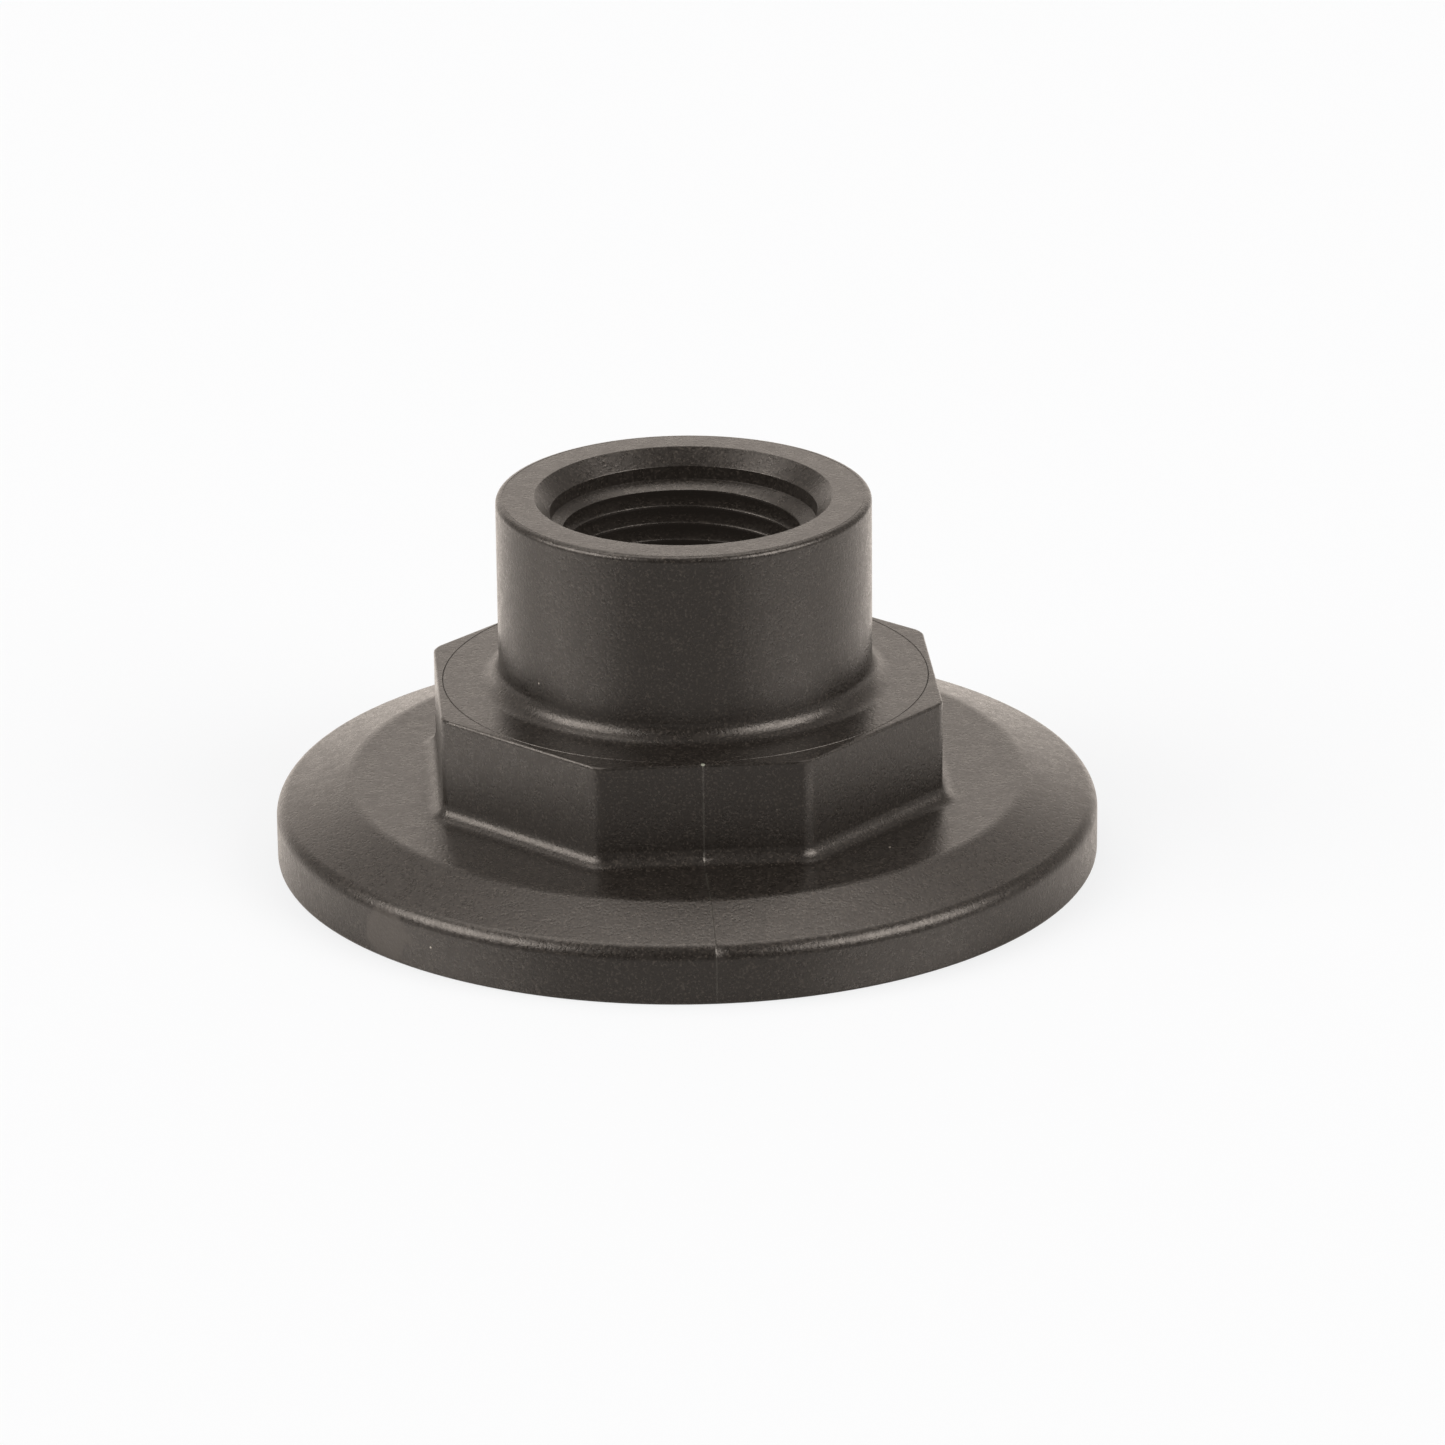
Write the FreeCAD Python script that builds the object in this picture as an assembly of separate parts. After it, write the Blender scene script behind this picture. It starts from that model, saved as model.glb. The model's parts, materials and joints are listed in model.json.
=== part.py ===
import FreeCAD, Part
import math
import os

# A moulded pipe adapter: a clamp flange with a sloped back, an octagon for a wrench, and a round boss
# with a female taper pipe thread. All sizes are in millimetres. The origin is the centre of the sealing
# face, and +Z runs up the thread's axis to the mouth.

# Flange
flange_diameter = 84.0
flange_thickness = 8.1  # from the sealing face to the flat ring round the octagon
back_width = 7.5  # from the rim in to where the sloped back meets the flat ring
back_slope = 17.5  # degrees below the flat ring
rim_round = 1.6
face_edge_round = 0.4

# Octagon
octagon_ledge = 6.3  # from the boss out to each flat
octagon_height = 10.5
corner_round = 1.8
octagon_top_round = 0.3
octagon_base_fillet = 1.6

# Boss
boss_diameter = 38.0
boss_height = 19.4
boss_base_fillet = 2.0
boss_edge_round = 0.5

# Mouth of the thread
mouth_chamfer = 1.6
counterbore_clearance = 0.35  # round the roots of the thread
counterbore_length = 1.4
seat_drop = 0.62  # height of the shallow cone between the counterbore and the thread

# 3/4-14 taper pipe thread
thread_pitch = 1.8143
thread_minor_diameter = 23.7  # across the crests, at the seat
thread_depth = 1.3
thread_root_flat = 0.1
thread_flank_angle = 30.0  # degrees from a plane across the axis
thread_taper = 16.0  # length over which the diameter narrows by one
thread_length = 18.0
thread_first_crest = 1.75  # below the seat, on the +Y side

# Port on the sealing side
port_diameter = 38.0
port_cone_angle = 55.0  # degrees from the axis, for the cone that ends at the thread
port_edge_chamfer = 0.6

# Groove for half of a gasket
gasket_land = 6.0  # from the port out to the groove
gasket_groove_width = 6.0
gasket_groove_depth = 1.6
gasket_groove_round = 0.5

cut_margin = 1.0  # how far cutters pass the faces that they open

flange_radius = flange_diameter / 2
flat_ring_radius = flange_radius - back_width
boss_radius = boss_diameter / 2
flat_distance = boss_radius + octagon_ledge  # from the axis to each flat
octagon_corner_radius = flat_distance / math.cos(math.pi / 8)
crest_radius = thread_minor_diameter / 2
counterbore_radius = crest_radius + thread_depth + counterbore_clearance
port_radius = port_diameter / 2

octagon_top = flange_thickness + octagon_height
overall_height = octagon_top + boss_height
rim_corner_height = flange_thickness - back_width * math.tan(math.radians(back_slope))
mouth_radius = counterbore_radius + mouth_chamfer
seat_top = overall_height - mouth_chamfer - counterbore_length
seat_bottom = seat_top - seat_drop
thread_bottom = seat_bottom - thread_length


def vector(x, y, z):
    return FreeCAD.Vector(x, y, z)


def revolved(points):
    """Turn a closed outline of (radius, height) points about Z."""
    outline = Part.makePolygon([vector(radius, 0, height) for radius, height in points + points[:1]])
    return Part.Face(outline).revolve(vector(0, 0, 0), vector(0, 0, 1), 360)


def crest_radius_at(height):
    return crest_radius - (seat_bottom - height) / thread_taper / 2


def ring_edges(shape, radius, height):
    """The round edges of one radius about Z, at one height."""
    found = []
    for edge in shape.Edges:
        curve = edge.Curve
        if isinstance(curve, Part.Circle) and abs(curve.Radius - radius) < 1e-4:
            centre = curve.Center
            if math.hypot(centre.x, centre.y) < 1e-4 and abs(centre.z - height) < 1e-4:
                found.append(edge)
    return found


def octagon_edges(shape, height):
    """The octagon's outline at one height: the level edges between the boss and its sharp corners."""
    found = []
    for edge in shape.Edges:
        box = edge.BoundBox
        level = abs(box.ZMin - height) < 1e-4 and abs(box.ZMax - height) < 1e-4
        middle = edge.valueAt((edge.FirstParameter + edge.LastParameter) / 2)
        reach = math.hypot(middle.x, middle.y)
        if level and boss_radius + 1e-3 < reach < octagon_corner_radius:
            found.append(edge)
    return found


def flange():
    """The disc: a straight rim, a sloped back and a flat ring."""
    disc = revolved([
        (0, 0),
        (flange_radius, 0),
        (flange_radius, rim_corner_height),
        (flat_ring_radius, flange_thickness),
        (0, flange_thickness),
    ])
    disc = disc.makeFillet(rim_round, ring_edges(disc, flange_radius, rim_corner_height))
    return disc.makeFillet(face_edge_round, ring_edges(disc, flange_radius, 0))


def octagon():
    """The wrench section, with flats square to X and Y and rounded upright corners."""
    corners = []
    for step in range(9):
        angle = (step + 0.5) * math.pi / 4
        x = octagon_corner_radius * math.cos(angle)
        y = octagon_corner_radius * math.sin(angle)
        corners.append(vector(x, y, 0))
    prism = Part.Face(Part.makePolygon(corners)).extrude(vector(0, 0, octagon_top))
    upright = [edge for edge in prism.Edges if edge.BoundBox.ZLength > octagon_top / 2]
    return prism.makeFillet(corner_round, upright)


def boss():
    return Part.makeCylinder(boss_radius, overall_height)


def outside():
    """Flange, octagon and boss in one, with the fillets of a moulding."""
    body = flange().fuse([octagon(), boss()]).removeSplitter()
    body = body.makeFillet(octagon_base_fillet, octagon_edges(body, flange_thickness))
    body = body.makeFillet(octagon_top_round, octagon_edges(body, octagon_top))
    body = body.makeFillet(boss_base_fillet, ring_edges(body, boss_radius, octagon_top))
    return body.makeFillet(boss_edge_round, ring_edges(body, boss_radius, overall_height))


def waterway():
    """The hole through the adapter, from the mouth down to the port, before the thread is cut."""
    end_radius = crest_radius_at(thread_bottom)
    cone_height = (port_radius - end_radius) / math.tan(math.radians(port_cone_angle))
    return revolved([
        (0, -cut_margin),
        (port_radius + port_edge_chamfer + cut_margin, -cut_margin),
        (port_radius, port_edge_chamfer),
        (port_radius, thread_bottom - cone_height),
        (end_radius, thread_bottom),
        (crest_radius, seat_bottom),
        (counterbore_radius, seat_top),
        (counterbore_radius, seat_top + counterbore_length),
        (mouth_radius + cut_margin, overall_height + cut_margin),
        (0, overall_height + cut_margin),
    ])


def thread_groove():
    """A V that follows the tapered helix. It starts just under the seat on the +Y side."""
    half_root = thread_root_flat / 2
    flank = math.tan(math.radians(thread_flank_angle))
    inner_reach = 0.15  # how far the V stands inside the crests, so that it cuts them clean
    half_mouth = half_root + (thread_depth + inner_reach) * flank
    climb = thread_length - thread_first_crest
    start_height = thread_bottom + thread_pitch / 2
    cone_angle = math.degrees(math.atan(1 / thread_taper / 2))
    start_radius = crest_radius_at(start_height)
    path = Part.makeHelix(thread_pitch, climb, start_radius, cone_angle)
    path.translate(vector(0, 0, start_height))
    section = Part.makePolygon([
        vector(start_radius - inner_reach, 0, start_height - half_mouth),
        vector(start_radius + thread_depth, 0, start_height - half_root),
        vector(start_radius + thread_depth, 0, start_height + half_root),
        vector(start_radius - inner_reach, 0, start_height + half_mouth),
        vector(start_radius - inner_reach, 0, start_height - half_mouth),
    ])
    groove = Part.Wire(path.Edges).makePipeShell([section], True, True)
    end_turn = climb / thread_pitch * 360
    groove.rotate(vector(0, 0, 0), vector(0, 0, 1), 90 - end_turn)
    return groove


def gasket_groove():
    inner = port_radius + gasket_land
    outer = inner + gasket_groove_width
    ring = revolved([
        (inner, -cut_margin),
        (outer, -cut_margin),
        (outer, gasket_groove_depth),
        (inner, gasket_groove_depth),
    ])
    floor_edges = ring_edges(ring, inner, gasket_groove_depth) + ring_edges(ring, outer, gasket_groove_depth)
    return ring.makeFillet(gasket_groove_round, floor_edges)


def adapter_body():
    body = outside().cut([waterway(), gasket_groove()])
    return body.cut(thread_groove())


def write(name, shape):
    print(name, "valid:", shape.isValid(), "solids:", len(shape.Solids), "volume:", round(shape.Volume, 1))
    shape.exportStep(os.path.join("parts", name + ".step"))


os.makedirs("parts", exist_ok=True)
write("adapter_body", adapter_body())
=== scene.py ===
import json
import math

import bmesh
import bpy
from mathutils import Euler, Matrix, Vector


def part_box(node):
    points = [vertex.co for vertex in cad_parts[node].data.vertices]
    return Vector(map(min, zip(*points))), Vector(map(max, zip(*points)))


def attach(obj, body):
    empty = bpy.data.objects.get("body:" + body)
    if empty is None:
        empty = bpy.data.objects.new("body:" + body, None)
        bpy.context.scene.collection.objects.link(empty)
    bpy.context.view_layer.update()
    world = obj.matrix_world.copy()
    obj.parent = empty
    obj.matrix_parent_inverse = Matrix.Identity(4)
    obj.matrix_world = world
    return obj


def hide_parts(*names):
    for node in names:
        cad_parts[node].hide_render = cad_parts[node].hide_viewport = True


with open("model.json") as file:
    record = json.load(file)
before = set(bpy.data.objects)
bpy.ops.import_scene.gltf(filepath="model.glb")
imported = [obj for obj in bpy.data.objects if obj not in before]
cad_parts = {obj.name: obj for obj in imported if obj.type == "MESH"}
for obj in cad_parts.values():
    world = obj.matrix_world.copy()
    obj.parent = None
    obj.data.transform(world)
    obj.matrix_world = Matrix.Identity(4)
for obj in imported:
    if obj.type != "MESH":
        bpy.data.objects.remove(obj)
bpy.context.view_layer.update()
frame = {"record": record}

mm = 0.001

level = 1e-6  # how close counts as on a level or on a plane
slack = 1e-5  # the same for a distance from the axis

mounts = {mount["name"]: mount for mount in frame["record"]["mounts"]}
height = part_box("adapter_body")[1].z
flangeRadius = mounts["flange_rim"]["dims"]["r_mm"] * mm
portRadius = mounts["port_bore"]["dims"]["r_mm"] * mm
counterboreRadius = mounts["pipe_thread"]["dims"]["r_mm"] * mm


def startObject(name):
    # name the object that was just added
    piece = bpy.context.active_object
    piece.name = name
    piece.data.name = name
    return piece


def onlySelect(piece):
    bpy.ops.object.select_all(action='DESELECT')
    piece.select_set(True)
    bpy.context.view_layer.objects.active = piece


def editMode(on):
    bpy.ops.object.mode_set(mode='EDIT' if on else 'OBJECT')


def selectEdges(piece, wanted):
    # select the edges whose two ends both pass the test
    bpy.ops.mesh.select_mode(type='EDGE')
    bpy.ops.mesh.select_all(action='DESELECT')
    bm = bmesh.from_edit_mesh(piece.data)
    count = 0
    for edge in bm.edges:
        if all(wanted(vert.co) for vert in edge.verts):
            edge.select_set(True)
            count += 1
    bmesh.update_edit_mesh(piece.data)
    return count


def selectVerts(piece, wanted):
    bpy.ops.mesh.select_mode(type='VERT')
    bpy.ops.mesh.select_all(action='DESELECT')
    bm = bmesh.from_edit_mesh(piece.data)
    for vert in bm.verts:
        if wanted(vert.co):
            vert.select_set(True)
    bmesh.update_edit_mesh(piece.data)


def onRing(radius, z, tolerance=0.004 * mm):
    return lambda co: abs(math.hypot(co.x, co.y) - radius) < tolerance and abs(co.z - z) < tolerance


def applyModifier(piece, kind, **options):
    onlySelect(piece)
    bpy.ops.object.modifier_add(type=kind)
    modifier = piece.modifiers[-1]
    for name, value in options.items():
        setattr(modifier, name, value)
    bpy.ops.object.modifier_apply(modifier=modifier.name)


body = {
    "steps": 192,  # round the axis
    "faceEdgeRound": 0.4 * mm,
    "rimCorner": 5.735 * mm,
    "rimRound": 1.6 * mm,
    "flatRing": 34.5 * mm,
    "flatRingHeight": 8.1 * mm,
    "flatRingRound": 3.0 * mm,
    "octagonFlats": 25.3 * mm,
    "octagonTop": 18.6 * mm,
    "octagonCorner": 1.8 * mm,
    "octagonLong": 5 * mm,  # edges shorter than this belong to a corner
    "octagonBaseFillet": 1.6 * mm,
    "octagonTopRound": 0.3 * mm,
    "witness": 24.72 * mm,
    "witnessWidth": 0.12 * mm,
    "witnessDepth": 0.08 * mm,
    "witnessOff": 0.18 * mm,
    "boss": 19.0 * mm,
    "bossBaseFillet": 2.0 * mm,
    "bossRound": 0.6 * mm,
    "mouthLine": 18.31 * mm,
    "mouthLineWidth": 0.10 * mm,
    "mouthLineDepth": 0.03 * mm,
    "seam": 0.11 * mm,  # half the width of the parting line
    "seamHeight": 0.05 * mm,
    "nubsWithin": 28 * mm,  # how far from the axis the nubs are looked for
    "nubHalf": 0.25 * mm,  # half the height of a nub
    "lowNub": 0.6,  # how far up the fillet the lower nub sits, as a part of the fillet
    "mouthEdgeRound": 0.06 * mm,
    "counterboreEdgeRound": 0.08 * mm,
    "shoulderRound": 0.3 * mm,
    "mouthChamfer": 1.6 * mm,
    "counterboreDepth": 1.4 * mm,
    "seatDrop": 0.62 * mm,
    "threadTop": 11.85 * mm,
    "threadBottom": 11.2875 * mm,
    "threadLength": 18.0 * mm,
    "portShoulder": 10.98 * mm,
    "portChamfer": 0.6 * mm,
    "gasketInner": 25.0 * mm,
    "gasketOuter": 31.0 * mm,
    "gasketDepth": 1.6 * mm,
    "gasketFloorRound": 0.5 * mm,
    "gasketEdgeRound": 0.15 * mm,
}


class RingChain:
    # a selected loop of edges that is drawn out ring by ring
    def __init__(self, radius, z):
        self.radius = radius
        self.z = z

    def to(self, radius, z):
        bpy.ops.mesh.extrude_region_move(TRANSFORM_OT_translate={"value": (0, 0, z - self.z)})
        self.z = z
        self.widen(radius)

    def widen(self, radius):
        if radius != self.radius:
            k = radius / self.radius
            bpy.ops.transform.resize(value=(k, k, 1), center_override=(0, 0, 0))
            self.radius = radius


def newCircle(radius, z, steps):
    bpy.ops.mesh.select_all(action='DESELECT')
    bpy.ops.mesh.primitive_circle_add(vertices=steps, radius=radius, location=(0, 0, z))
    return RingChain(radius, z)


def onOctagon(z):
    reach = body["octagonFlats"] / math.cos(math.pi / 8)
    return lambda co: abs(co.z - z) < level and body["octagonFlats"] - slack < co.xy.length < reach


def octagonOutline(piece, z):
    # eight corners, rounded, with each flat divided so that the loop has as many points as a ring
    s = body
    reach = s["octagonFlats"] / math.cos(math.pi / 8)
    bpy.ops.mesh.select_all(action='DESELECT')
    bpy.ops.mesh.primitive_circle_add(
        vertices=8, radius=reach, location=(0, 0, z), rotation=(0, 0, math.pi / 8))
    bpy.ops.mesh.select_mode(type='VERT')
    setback = s["octagonCorner"] * math.tan(math.pi / 8)
    bpy.ops.mesh.bevel(affect='VERTICES', offset=setback, segments=8, profile=0.5)
    bm = bmesh.from_edit_mesh(piece.data)
    bpy.ops.mesh.select_mode(type='EDGE')
    for edge in bm.edges:
        if edge.select and edge.calc_length() < s["octagonLong"]:
            edge.select_set(False)
    bmesh.update_edit_mesh(piece.data)
    bpy.ops.mesh.subdivide(number_cuts=15)
    count = selectEdges(piece, onOctagon(z))
    print("octagon loop edges", count)


def bevelRing(piece, wanted, offset, segments):
    count = selectEdges(piece, wanted)
    bpy.ops.mesh.bevel(affect='EDGES', offset=offset, offset_type='OFFSET', segments=segments, profile=0.5,
                       clamp_overlap=False)
    print("bevel", count)


def partingLine(piece):
    # a low ridge down the octagon, the flange's back and the rim, on the two sides that Y crosses
    s = body

    def onSeam(co):
        outside = abs(co.y) > s["octagonFlats"] - slack and co.z > s["faceEdgeRound"] - level
        return abs(co.x) < level and outside and co.z < s["octagonTop"] + level

    count = selectEdges(piece, onSeam)
    bpy.ops.mesh.bevel(affect='EDGES', offset=s["seam"], offset_type='OFFSET', segments=2, profile=0.5,
                       clamp_overlap=False)
    selectVerts(piece, onSeam)
    bpy.ops.transform.shrink_fatten(value=s["seamHeight"])
    # a small nub at the top of the face and one in the fillet
    for z in (s["octagonTop"] - s["octagonTopRound"],
              s["flatRingHeight"] + s["octagonBaseFillet"] * s["lowNub"]):
        selectVerts(piece, lambda co: abs(co.x) < level and abs(co.z - z) < s["nubHalf"]
                    and -s["nubsWithin"] < co.y < -s["octagonFlats"])
        bpy.ops.transform.shrink_fatten(value=s["seamHeight"])
    print("parting line edges", count)


def makeBody():
    s = body
    steps = s["steps"]
    bpy.ops.object.select_all(action='DESELECT')
    bpy.ops.mesh.primitive_circle_add(vertices=steps, radius=flangeRadius, location=(0, 0, 0))
    piece = startObject("adapterBody")
    editMode(True)
    bpy.ops.mesh.select_mode(type='EDGE')

    # rim, sloped back, and the corner where the flat ring starts
    chain = RingChain(flangeRadius, 0)
    chain.to(flangeRadius, s["rimCorner"])
    chain.to(s["flatRing"], s["flatRingHeight"])

    # octagon, joined to the flat ring
    octagonOutline(piece, s["flatRingHeight"])
    low = s["octagonFlats"] - slack
    wall = s["flatRing"] + slack
    selectEdges(piece, lambda co: abs(co.z - s["flatRingHeight"]) < level and low < co.xy.length < wall)
    bpy.ops.mesh.bridge_edge_loops()
    selectEdges(piece, onOctagon(s["flatRingHeight"]))
    bpy.ops.mesh.extrude_region_move(
        TRANSFORM_OT_translate={"value": (0, 0, s["octagonTop"] - s["flatRingHeight"])})

    # witness line on top of the octagon, then the boss up to its mouth
    top = s["octagonTop"]
    chain = newCircle(s["witness"] + s["witnessWidth"] / 2, top, steps)
    bpy.ops.transform.translate(value=(0, s["witnessOff"], 0))
    selectEdges(piece, lambda co: abs(co.z - top) < level)
    bpy.ops.mesh.bridge_edge_loops()
    selectEdges(piece, lambda co: abs(co.z - top) < level and
                math.hypot(co.x, co.y - s["witnessOff"]) < s["witness"] + s["witnessWidth"])
    chain.to(s["witness"], top - s["witnessDepth"])
    chain.to(s["witness"] - s["witnessWidth"] / 2, top)
    bpy.ops.mesh.extrude_region_move(TRANSFORM_OT_translate={"value": (0, -s["witnessOff"], 0)})
    chain.widen(s["boss"])
    chain.to(s["boss"], height)

    # mouth, seat, thread wall, port and the sealing face
    chain.to(s["mouthLine"] + s["mouthLineWidth"] / 2, height)
    chain.to(s["mouthLine"], height - s["mouthLineDepth"])
    chain.to(s["mouthLine"] - s["mouthLineWidth"] / 2, height)
    chain.to(counterboreRadius + s["mouthChamfer"], height)
    chain.to(counterboreRadius, height - s["mouthChamfer"])
    seat = height - s["mouthChamfer"] - s["counterboreDepth"]
    chain.to(counterboreRadius, seat)
    seat -= s["seatDrop"]
    chain.to(s["threadTop"], seat)
    chain.to(s["threadBottom"], seat - s["threadLength"])
    chain.to(portRadius, s["portShoulder"])
    chain.to(portRadius, s["portChamfer"])
    chain.to(portRadius + s["portChamfer"], 0)
    chain.to(s["gasketInner"], 0)
    chain.to(s["gasketInner"], s["gasketDepth"])
    chain.to(s["gasketOuter"], s["gasketDepth"])
    chain.to(s["gasketOuter"], 0)
    selectEdges(piece, lambda co: abs(co.z) < level and co.xy.length > s["gasketOuter"] - slack)
    bpy.ops.mesh.bridge_edge_loops()
    bpy.ops.mesh.select_all(action='SELECT')
    bpy.ops.mesh.remove_doubles(threshold=1e-7)
    bpy.ops.mesh.normals_make_consistent(inside=False)

    # rounds and fillets
    turn = math.atan2(s["flatRingHeight"] - s["rimCorner"], flangeRadius - s["flatRing"])
    bevelRing(piece, onRing(flangeRadius, 0), s["faceEdgeRound"], 4)
    bevelRing(piece, onRing(flangeRadius, s["rimCorner"]),
              s["rimRound"] * math.tan((math.pi / 2 - turn) / 2), 10)
    bevelRing(piece, onRing(s["flatRing"], s["flatRingHeight"]), s["flatRingRound"] * math.tan(turn / 2), 5)
    bevelRing(piece, onOctagon(s["flatRingHeight"]), s["octagonBaseFillet"], 8)
    bevelRing(piece, onOctagon(top), s["octagonTopRound"], 3)
    bevelRing(piece, onRing(s["boss"], top), s["bossBaseFillet"], 10)
    bevelRing(piece, onRing(s["boss"], height), s["bossRound"], 6)
    bevelRing(piece, onRing(counterboreRadius + s["mouthChamfer"], height), s["mouthEdgeRound"], 2)
    bevelRing(piece, onRing(counterboreRadius, height - s["mouthChamfer"]), s["mouthEdgeRound"], 2)
    bevelRing(piece, onRing(counterboreRadius, seat + s["seatDrop"]), s["counterboreEdgeRound"], 2)
    bevelRing(piece, onRing(portRadius, s["portShoulder"]), s["shoulderRound"], 3)
    bevelRing(piece, onRing(s["gasketInner"], s["gasketDepth"]), s["gasketFloorRound"], 4)
    bevelRing(piece, onRing(s["gasketOuter"], s["gasketDepth"]), s["gasketFloorRound"], 4)
    bevelRing(piece, onRing(s["gasketInner"], 0), s["gasketEdgeRound"], 3)
    bevelRing(piece, onRing(s["gasketOuter"], 0), s["gasketEdgeRound"], 3)
    partingLine(piece)
    editMode(False)
    return piece, seat


thread = {
    "pitch": 1.8143 * mm,
    "depth": 1.3 * mm,
    "rootFlat": 0.1 * mm,
    "flank": 30.0,  # degrees from a plane across the axis
    "inside": 0.15 * mm,  # how far the cutter stands inside the crests
    "crestRound": 0.11 * mm,
    "firstCrest": 1.75 * mm,  # below the seat, at the back
    "taper": 32.0,  # length over which the radius narrows by one
    "stepsPerTurn": 96,
}


def makeThreadCutter(seat):
    # a V, screwed up the axis and then narrowed towards the port
    t = thread
    rise = body["threadLength"] - t["firstCrest"] + t["pitch"]  # one turn more, so it runs out over the seat
    startHeight = seat - body["threadLength"] + t["pitch"] / 2
    turns = rise / t["pitch"]
    baseRadius = body["threadTop"] - seat / t["taper"]  # the crest's radius carried down to the sealing face
    slope = math.tan(math.radians(t["flank"]))
    halfRoot = t["rootFlat"] / 2
    halfCrest = halfRoot + t["depth"] * slope
    r = t["crestRound"]
    # one side of the V as (depth below the crests, half width), which flares over the crests' edges
    side = [
        (t["depth"], halfRoot),
        (r, halfCrest - r * slope),
        (r * 0.3, halfCrest + r * 0.1),
        (0, halfCrest + r * 0.55),
        (-t["inside"], halfCrest + r * 0.8),
    ]
    profile = [(depth, half) for depth, half in side] + [(depth, -half) for depth, half in reversed(side)]
    bpy.ops.object.select_all(action='DESELECT')
    bpy.ops.mesh.primitive_circle_add(vertices=len(profile), radius=baseRadius)
    cutter = startObject("threadCutter")
    editMode(True)
    bm = bmesh.from_edit_mesh(cutter.data)
    for vert, (depth, half) in zip(bm.verts, profile):
        vert.co = (baseRadius + depth, 0, startHeight + half)
    bmesh.update_edit_mesh(cutter.data)
    editMode(False)
    applyModifier(cutter, 'SCREW', angle=turns * 2 * math.pi, screw_offset=rise, iterations=1, axis='Z',
                  steps=int(turns * t["stepsPerTurn"]), render_steps=int(turns * t["stepsPerTurn"]),
                  use_merge_vertices=False, use_smooth_shade=False)
    editMode(True)
    bpy.ops.mesh.select_mode(type='EDGE')
    bpy.ops.mesh.select_all(action='DESELECT')
    bpy.ops.mesh.select_non_manifold()
    bpy.ops.mesh.edge_face_add()
    bpy.ops.mesh.select_all(action='SELECT')
    bpy.ops.mesh.normals_make_consistent(inside=False)
    editMode(False)
    span = max(v.co.z for v in cutter.data.vertices) - min(v.co.z for v in cutter.data.vertices)
    applyModifier(cutter, 'SIMPLE_DEFORM', deform_method='TAPER', deform_axis='Z',
                  factor=span / t["taper"] / baseRadius)
    cutter.rotation_euler[2] = math.pi / 2 - turns * 2 * math.pi
    bpy.ops.object.transform_apply(location=True, rotation=True, scale=True)
    return cutter


def cutThread(piece, cutter):
    applyModifier(piece, 'BOOLEAN', operation='DIFFERENCE', solver='EXACT', object=cutter)
    bpy.data.objects.remove(cutter)


adapter, seatHeight = makeBody()
print("body verts", len(adapter.data.vertices))
cutThread(adapter, makeThreadCutter(seatHeight))
print("after thread", len(adapter.data.vertices))
onlySelect(adapter)
bpy.ops.object.shade_smooth_by_angle(angle=math.radians(30))
applyModifier(adapter, 'WEIGHTED_NORMAL', keep_sharp=True, weight=50)


def newMaterial(name):
    material = bpy.data.materials.new(name)
    material.use_nodes = True
    return material, material.node_tree.nodes, material.node_tree.links


plasticLook = {
    "base": (0.0004, 0.0003, 0.0002),
    "grainColour": (0.0036, 0.0029, 0.0024),
    "fleckColour": (0.021, 0.019, 0.017),
    "dust": (0.30, 0.29, 0.27),
    "rubColour": (0.030, 0.028, 0.026),
    "roughness": 0.25,
    "rougher": 0.38,
    "fleck": 4000,
    "grain": 3000,  # noise scale, per metre
    "grainHeight": 0.040 * mm,
    "waveHeight": 0.014 * mm,
    "seamColour": (0.013, 0.0135, 0.012),
    "nubColour": (0.16, 0.18, 0.16),
    "roughFrom": (0.36, 0.66),
    "ior": 1.5,
    "specular": 0.43,
    "cloud": 700,
    "mottle": (0.42, 0.66),
    "fleckFrom": (0.55, 0.68),
    # level streaks, on the boss only
    "streakScale": (60, 60, 2600),
    "streakHeight": 0.005 * mm,
    "streaksAbove": (20.5 * mm, 21.5 * mm),
    # dust lies in cells: some hold a speck, and fewer hold part of a curled fibre
    "cells": 260,
    "speck": (0.020, 0.036),
    "speckChance": 0.84,
    "curl": 0.17,
    "curlWidth": (0.008, 0.020),
    "curlChance": 0.965,
    "curlGaps": 520,
    "curlFrom": (0.52, 0.58),
    # the rubbed place on the rim
    "rub": (-31.6 * mm, -27.7 * mm, 3.2 * mm),
    "rubEdge": (2.6 * mm, 3.3 * mm),
    "rubWander": 4 * mm,
    "rubNoise": 300,
    "rubAmount": 0.75,
    "rubRoughness": 0.10,
    # the parting line, and its nubs as (place, size)
    "seam": (0.05 * mm, 0.12 * mm),
    "seamFrom": 25.2 * mm,
    "seamNoise": 900,
    "seamGaps": (0.38, 0.52),
    "nubs": [((0, -25.15 * mm, 18.62 * mm), 0.16 * mm), ((0, -25.9 * mm, 9.1 * mm), 0.22 * mm)],
    "nubEdge": 1.6,
}


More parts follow.
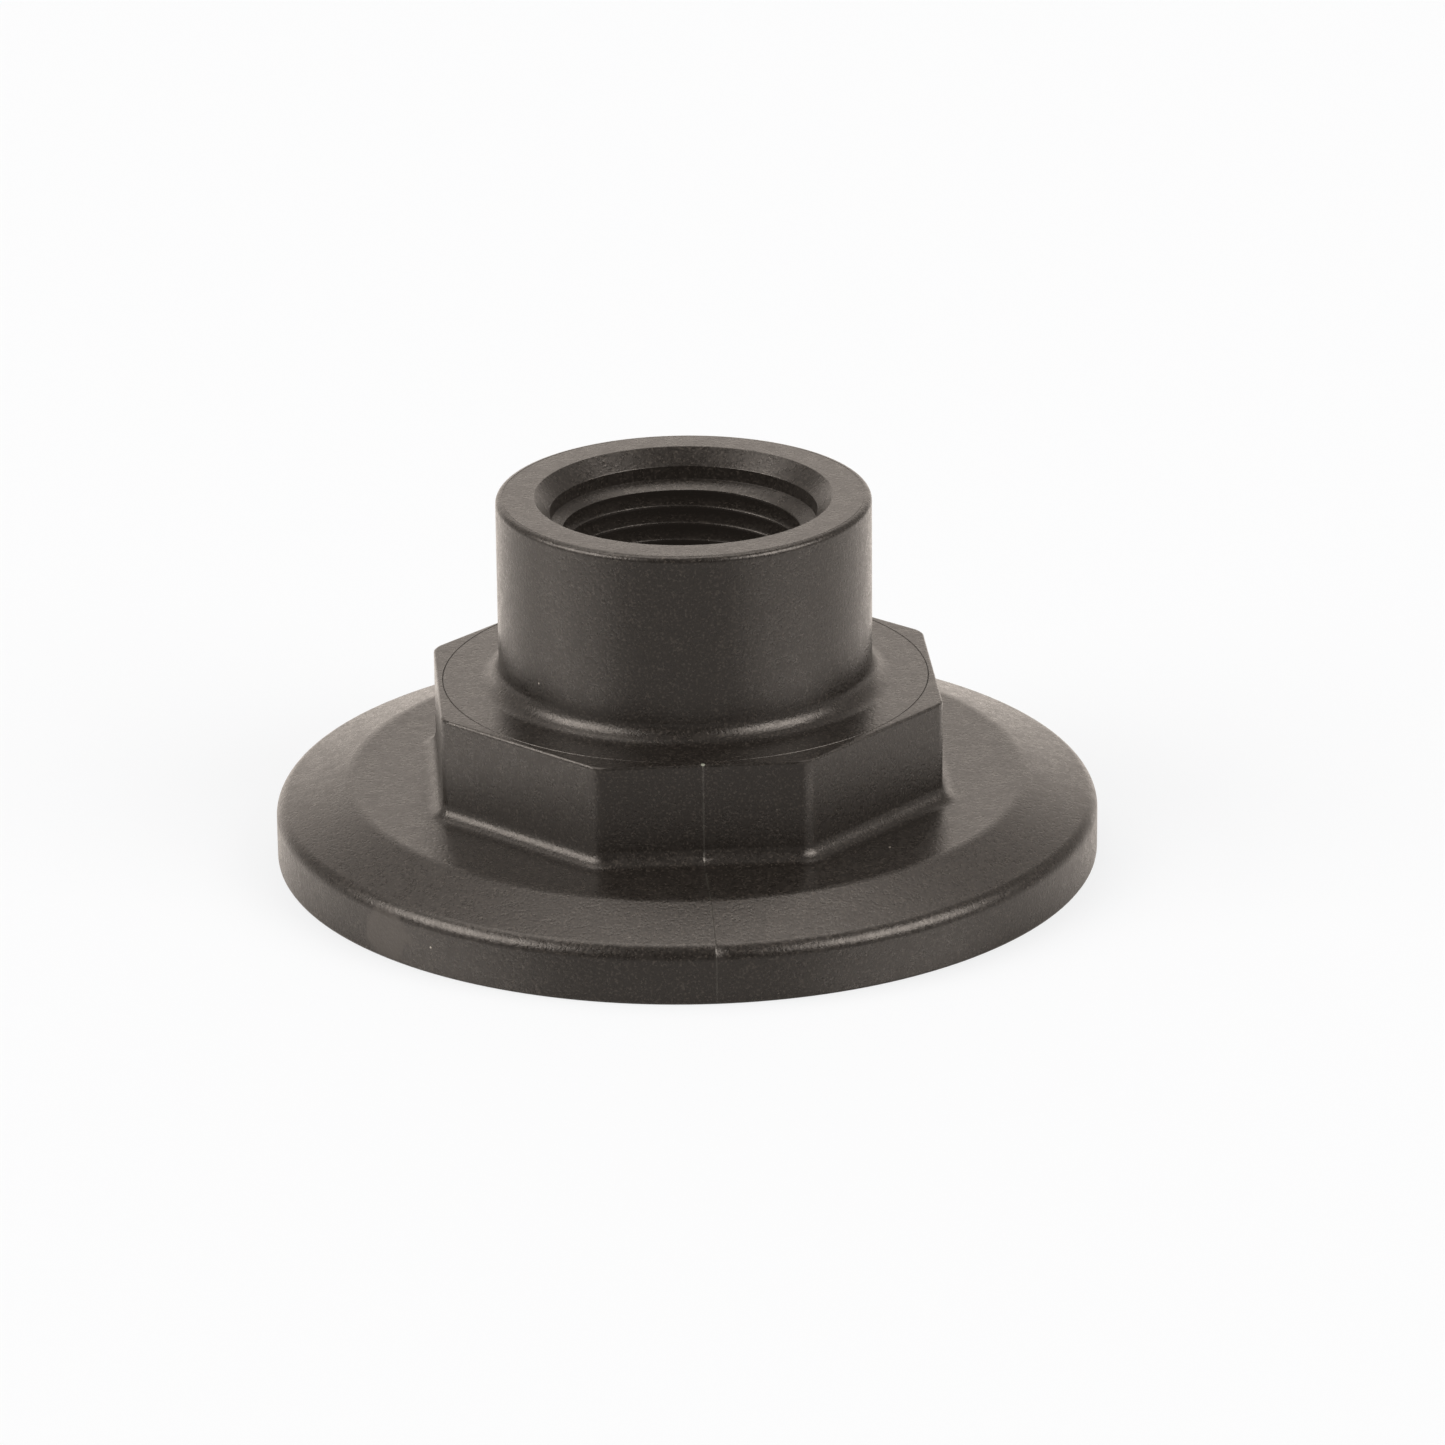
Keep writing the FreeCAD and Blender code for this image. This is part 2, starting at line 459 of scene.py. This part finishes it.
def blackPlastic():
    look = plasticLook
    material, nodes, links = newMaterial("warmBlackPlastic")
    shader = nodes["Principled BSDF"]
    shader.inputs["IOR"].default_value = look["ior"]
    shader.inputs["Specular IOR Level"].default_value = look["specular"]
    place = nodes.new("ShaderNodeTexCoord").outputs["Object"]

    def put(socket, value):
        if isinstance(value, (int, float)):
            socket.default_value = value
        elif isinstance(value, tuple):
            socket.default_value = (*value, 1) if len(socket.default_value) == 4 else value
        else:
            links.new(value, socket)

    def maths(operation, *values):
        node = nodes.new("ShaderNodeMath")
        node.operation = operation
        for socket, value in zip(node.inputs, values):
            put(socket, value)
        return node.outputs[0]

    def ramp(source, low, high, lowTo=0, highTo=1):
        node = nodes.new("ShaderNodeMapRange")
        node.interpolation_type = 'SMOOTHSTEP'
        for name, value in zip(("From Min", "From Max", "To Min", "To Max"), (low, high, lowTo, highTo)):
            put(node.inputs[name], value)
        links.new(source, node.inputs["Value"])
        return node.outputs["Result"]

    def noise(scale, detail, roughness=0.5, where=place):
        node = nodes.new("ShaderNodeTexNoise")
        links.new(where, node.inputs["Vector"])
        put(node.inputs["Scale"], scale)
        put(node.inputs["Detail"], detail)
        put(node.inputs["Roughness"], roughness)
        return node.outputs["Fac"]

    def stretched(x, y, z):
        node = nodes.new("ShaderNodeMapping")
        node.inputs["Scale"].default_value = (x, y, z)
        links.new(place, node.inputs["Vector"])
        return node.outputs[0]

    def blend(amount, first, second):
        node = nodes.new("ShaderNodeMix")
        node.data_type = 'RGBA'
        put(node.inputs[0], amount)
        put(node.inputs[6], first)
        put(node.inputs[7], second)
        return node.outputs[2]

    def bump(height, distance, under=None):
        node = nodes.new("ShaderNodeBump")
        put(node.inputs["Distance"], distance)
        put(node.inputs["Height"], height)
        if under is not None:
            links.new(under, node.inputs["Normal"])
        return node.outputs[0]

    split = nodes.new("ShaderNodeSeparateXYZ")
    links.new(place, split.inputs[0])
    upOnBoss = ramp(split.outputs[2], *look["streaksAbove"])

    grain = noise(look["grain"], 3, 0.6)
    cloud = noise(look["cloud"], 4, 0.6)
    streaks = maths('MULTIPLY', noise(1, 3, 0.6, stretched(*look["streakScale"])), upOnBoss)

    cells = nodes.new("ShaderNodeTexVoronoi")
    put(cells.inputs["Scale"], look["cells"])
    links.new(place, cells.inputs["Vector"])
    chance = nodes.new("ShaderNodeSeparateColor")
    links.new(cells.outputs["Color"], chance.inputs[0])
    speck = maths('MULTIPLY', ramp(cells.outputs["Distance"], *look["speck"], 1, 0),
                  maths('GREATER_THAN', chance.outputs[0], look["speckChance"]))
    ring = maths('ABSOLUTE', maths('SUBTRACT', cells.outputs["Distance"], look["curl"]))
    curl = maths('MULTIPLY', ramp(ring, *look["curlWidth"], 1, 0),
                 maths('GREATER_THAN', chance.outputs[1], look["curlChance"]))
    curl = maths('MULTIPLY', curl, ramp(noise(look["curlGaps"], 0), *look["curlFrom"]))
    dust = maths('MAXIMUM', speck, curl)

    away = nodes.new("ShaderNodeVectorMath")
    away.operation = 'DISTANCE'
    links.new(place, away.inputs[0])
    away.inputs[1].default_value = look["rub"]
    wander = maths('MULTIPLY', maths('SUBTRACT', noise(look["rubNoise"], 2), 0.5), look["rubWander"])
    rub = ramp(maths('ADD', away.outputs["Value"], wander), *look["rubEdge"], 1, 0)

    offSeam = maths('ABSOLUTE', split.outputs[0])
    seam = maths('MULTIPLY', ramp(offSeam, *look["seam"], 1, 0),
                 maths('GREATER_THAN', maths('ABSOLUTE', split.outputs[1]), look["seamFrom"]))
    seam = maths('MULTIPLY', seam, ramp(noise(look["seamNoise"], 1), *look["seamGaps"]))
    nub = 0.0
    for point, size in look["nubs"]:
        near = nodes.new("ShaderNodeVectorMath")
        near.operation = 'DISTANCE'
        links.new(place, near.inputs[0])
        near.inputs[1].default_value = point
        nub = maths('MAXIMUM', ramp(near.outputs["Value"], size, size * look["nubEdge"], 1, 0), nub)

    mottle = ramp(grain, *look["mottle"])
    colour = blend(mottle, look["base"], look["grainColour"])
    colour = blend(ramp(noise(look["fleck"], 1, 0.6), *look["fleckFrom"]), colour, look["fleckColour"])
    colour = blend(maths('MULTIPLY', rub, look["rubAmount"]), colour, look["rubColour"])
    colour = blend(seam, colour, look["seamColour"])
    colour = blend(nub, colour, look["nubColour"])
    colour = blend(dust, colour, look["dust"])
    put(shader.inputs["Base Color"], colour)
    rough = ramp(maths('ADD', maths('MULTIPLY', grain, 0.6), maths('MULTIPLY', cloud, 0.4)),
                 *look["roughFrom"], look["roughness"], look["rougher"])
    rough = maths('ADD', rough, maths('MULTIPLY', rub, look["rubRoughness"]))
    put(shader.inputs["Roughness"], rough)
    normal = bump(cloud, look["waveHeight"])
    normal = bump(grain, look["grainHeight"], normal)
    normal = bump(streaks, look["streakHeight"], normal)
    put(shader.inputs["Normal"], normal)
    return material


plastic = blackPlastic()
adapter.data.materials.clear()
adapter.data.materials.append(plastic)
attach(adapter, "root")
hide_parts("adapter_body")
print("plastic nodes", len(plastic.node_tree.nodes))


ground = {
    "white": (0.895, 0.897, 0.899),
    "matt": (0.72, 0.80, 0.89),
    "shade": 0.14,
    # front and back are painted shade: the floor colour in front of the piece and behind it, darker in front
    # for the dim front of the set
    "front": (0.50, 0.51, 0.52),
    "back": (0.86, 0.87, 0.88),
    "size": 24,
    "roughness": 0.18,
    "ior": 2.0,
    "paintedShadeUntil": -52 * mm,
    "paintedShadeEndsAt": -10 * mm,
}


def makeFloor():
    bpy.ops.object.select_all(action='DESELECT')
    bpy.ops.mesh.primitive_plane_add(size=ground["size"], location=(0, 0, 0))
    floor = startObject("floor")
    material, nodes, links = newMaterial("paleFloor")
    shader = nodes["Principled BSDF"]
    shader.inputs["Roughness"].default_value = ground["roughness"]
    shader.inputs["IOR"].default_value = ground["ior"]
    # painted shade: the floor's colour is brighter beside and behind the piece than in front of it, standing
    # in for the dimmer light at the front of the set; only reflections and bounced light see it
    split = nodes.new("ShaderNodeSeparateXYZ")
    links.new(nodes.new("ShaderNodeTexCoord").outputs["Object"], split.inputs[0])
    depth = nodes.new("ShaderNodeMapRange")
    depth.interpolation_type = 'SMOOTHSTEP'
    depth.inputs["From Min"].default_value = ground["paintedShadeUntil"]
    depth.inputs["From Max"].default_value = ground["paintedShadeEndsAt"]
    links.new(split.outputs[1], depth.inputs["Value"])
    paintedShadeTone = nodes.new("ShaderNodeMix")
    paintedShadeTone.data_type = 'RGBA'
    paintedShadeTone.inputs[6].default_value = (*ground["front"], 1)
    paintedShadeTone.inputs[7].default_value = (*ground["back"], 1)
    links.new(depth.outputs["Result"], paintedShadeTone.inputs[0])
    links.new(paintedShadeTone.outputs[2], shader.inputs["Base Color"])
    # what the camera sees: an even white with a faint soft shadow
    glow = nodes.new("ShaderNodeEmission")
    glow.inputs["Color"].default_value = (*ground["white"], 1)
    matt = nodes.new("ShaderNodeBsdfDiffuse")
    matt.inputs["Color"].default_value = (*ground["matt"], 1)
    mixed = nodes.new("ShaderNodeMixShader")
    mixed.inputs[0].default_value = ground["shade"]
    links.new(glow.outputs[0], mixed.inputs[1])
    links.new(matt.outputs[0], mixed.inputs[2])
    switch = nodes.new("ShaderNodeMixShader")
    links.new(nodes.new("ShaderNodeLightPath").outputs["Is Camera Ray"], switch.inputs[0])
    links.new(shader.outputs[0], switch.inputs[1])
    links.new(mixed.outputs[0], switch.inputs[2])
    links.new(switch.outputs[0], nodes["Material Output"].inputs["Surface"])
    floor.data.materials.append(material)
    print("floor", ground["size"], "m")


makeFloor()


studio = {
    "tint": (1.12, 1.0, 0.90),
    "exposure": 1.5,
    "room": 0.30,  # what lies between the lamps
    "front": 0.10,  # behind the camera
    "backWall": 0.96,
    "backWallFrom": (0.70, 0.90),
    "backWallTop": (0.43, 0.55),
    "frontTo": (-0.6, -0.2),
    "softEdge": 0.12,
    "blackLevel": (-0.0105, -0.0085, -0.0070),
    "seen": (0.982, 0.982, 0.982),  # the plain backdrop that the camera sees
    # softboxes: azimuth and elevation of the middle, half width and half height in degrees, strength
    "boxes": [
        (-166, 70, 25, 15, 2.4),
        (-75, 34, 22, 14.5, 5.8),
        (59, 34, 21, 14.5, 5.8),
    ],
}


def makeStudio():
    world = bpy.data.worlds.new("studio")
    bpy.context.scene.world = world
    world.use_nodes = True
    nodes = world.node_tree.nodes
    links = world.node_tree.links
    nodes.clear()
    out = nodes.new("ShaderNodeOutputWorld")
    where = nodes.new("ShaderNodeTexCoord").outputs["Generated"]
    split = nodes.new("ShaderNodeSeparateXYZ")
    links.new(where, split.inputs[0])
    y = split.outputs[1]
    z = split.outputs[2]

    def ramp(source, low, high, lowTo, highTo):
        node = nodes.new("ShaderNodeMapRange")
        node.interpolation_type = 'SMOOTHSTEP'
        for name, value in zip(("From Min", "From Max", "To Min", "To Max"), (low, high, lowTo, highTo)):
            node.inputs[name].default_value = value
        links.new(source, node.inputs["Value"])
        return node.outputs["Result"]

    def maths(operation, *values):
        node = nodes.new("ShaderNodeMath")
        node.operation = operation
        for socket, value in zip(node.inputs, values):
            if isinstance(value, (int, float)):
                socket.default_value = value
            else:
                links.new(value, socket)
        return node.outputs[0]

    def along(axis):
        node = nodes.new("ShaderNodeVectorMath")
        node.operation = 'DOT_PRODUCT'
        node.inputs[1].default_value = axis
        links.new(where, node.inputs[0])
        return node.outputs["Value"]

    def softbox(azimuth, elevation, halfWidth, halfHeight, strength):
        a = math.radians(azimuth)
        e = math.radians(elevation)
        middle = Vector((math.sin(a) * math.cos(e), -math.cos(a) * math.cos(e), math.sin(e)))
        across = Vector((math.cos(a), math.sin(a), 0))
        upward = middle.cross(across)
        depth = maths('MAXIMUM', along(middle), 0.001)
        shape = strength
        for axis, half in ((across, halfWidth), (upward, halfHeight)):
            reach = math.tan(math.radians(half))
            off = maths('ABSOLUTE', maths('DIVIDE', along(axis), depth))
            inner = reach * (1 - studio["softEdge"])
            outer = reach * (1 + studio["softEdge"])
            shape = maths('MULTIPLY', ramp(off, inner, outer, 1, 0), shape)
        return shape

    light = maths('MULTIPLY', ramp(y, *studio["backWallFrom"], 0, studio["backWall"]),
                  ramp(z, *studio["backWallTop"], 1, 0))
    light = maths('MAXIMUM', light, ramp(y, *studio["frontTo"], studio["front"], studio["room"]))
    for box in studio["boxes"]:
        light = maths('MAXIMUM', light, softbox(*box))
    seen = nodes.new("ShaderNodeLightPath").outputs["Is Camera Ray"]
    shader = nodes.new("ShaderNodeBackground")
    shader.inputs["Color"].default_value = (*studio["tint"], 1)
    links.new(maths('MULTIPLY', light, studio["exposure"]), shader.inputs["Strength"])
    backdrop = nodes.new("ShaderNodeBackground")
    backdrop.inputs["Color"].default_value = (*studio["seen"], 1)
    mixed = nodes.new("ShaderNodeMixShader")
    links.new(seen, mixed.inputs[0])
    links.new(shader.outputs[0], mixed.inputs[1])
    links.new(backdrop.outputs[0], mixed.inputs[2])
    links.new(mixed.outputs[0], out.inputs["Surface"])


makeStudio()
print("softboxes", len(studio["boxes"]))
colour = bpy.context.scene.view_settings
colour.view_transform = 'Standard'
colour.use_curve_mapping = True
colour.curve_mapping.black_level = studio["blackLevel"]
colour.curve_mapping.update()


view = {
    "lens": 181.2,
    "aim": (3.7 * mm, -0.24 * mm, 13.33 * mm),
    "distance": 742.4 * mm,
    "azimuth": -3.957,
    "elevation": 21.083,
    "roll": -0.569,
}


def makeCamera():
    azimuth = math.radians(view["azimuth"])
    elevation = math.radians(view["elevation"])
    reach = view["distance"]
    place = [
        view["aim"][0] + reach * math.sin(azimuth) * math.cos(elevation),
        view["aim"][1] - reach * math.cos(azimuth) * math.cos(elevation),
        view["aim"][2] + reach * math.sin(elevation),
    ]
    bpy.ops.object.camera_add(location=place)
    camera = bpy.context.active_object
    camera.name = "camera"
    turn = Euler((math.pi / 2 - elevation, 0, azimuth)).to_matrix()
    turn = turn @ Matrix.Rotation(math.radians(view["roll"]), 3, 'Z')
    camera.rotation_euler = turn.to_euler()
    camera.data.lens = view["lens"]
    camera.data.sensor_width = 36
    camera.data.clip_start = 0.01
    camera.data.clip_end = 50
    bpy.context.scene.camera = camera


makeCamera()
